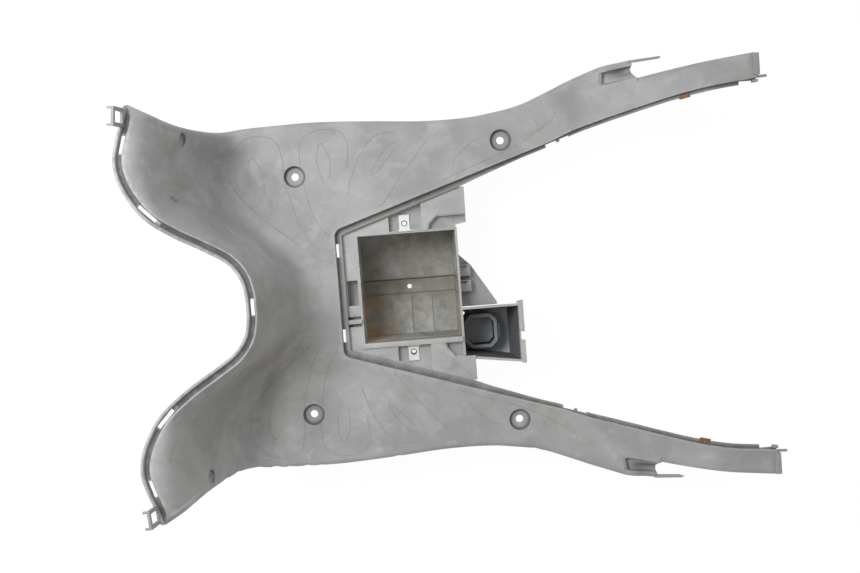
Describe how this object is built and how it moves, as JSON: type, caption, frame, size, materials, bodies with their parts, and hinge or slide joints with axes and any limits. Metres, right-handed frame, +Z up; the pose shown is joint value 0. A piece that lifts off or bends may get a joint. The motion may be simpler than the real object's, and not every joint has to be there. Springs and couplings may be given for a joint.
{
  "type": "scooter floorboard",
  "caption": "Moulded floorboard of a scooter: flat floor with two raised front wings round a front cutout, a battery box and a lead box sunk behind it, and two rising rear arms.",
  "frame": {"origin": "midway between the two front floor bolts, on the seats of their collars", "axes": "+X to the rear of the scooter, +Y to the rider's right, +Z up"},
  "size_m": [0.712, 0.5026, 0.2635],
  "materials": {
    "panel": "weathered mid-grey, fine grain, dusty",
    "boot": "black, matte",
    "zinc": "dull zinc plating",
    "rusty_steel": "brown rust"
  },
  "bodies": {
    "root": {"floorboard": "panel", "socket_boot": "boot", "clip_nut_right": "zinc", "clip_nut_left": "zinc", "arm_clip_nut_right": "rusty_steel", "arm_clip_nut_left": "rusty_steel"}
  },
  "joints": []
}
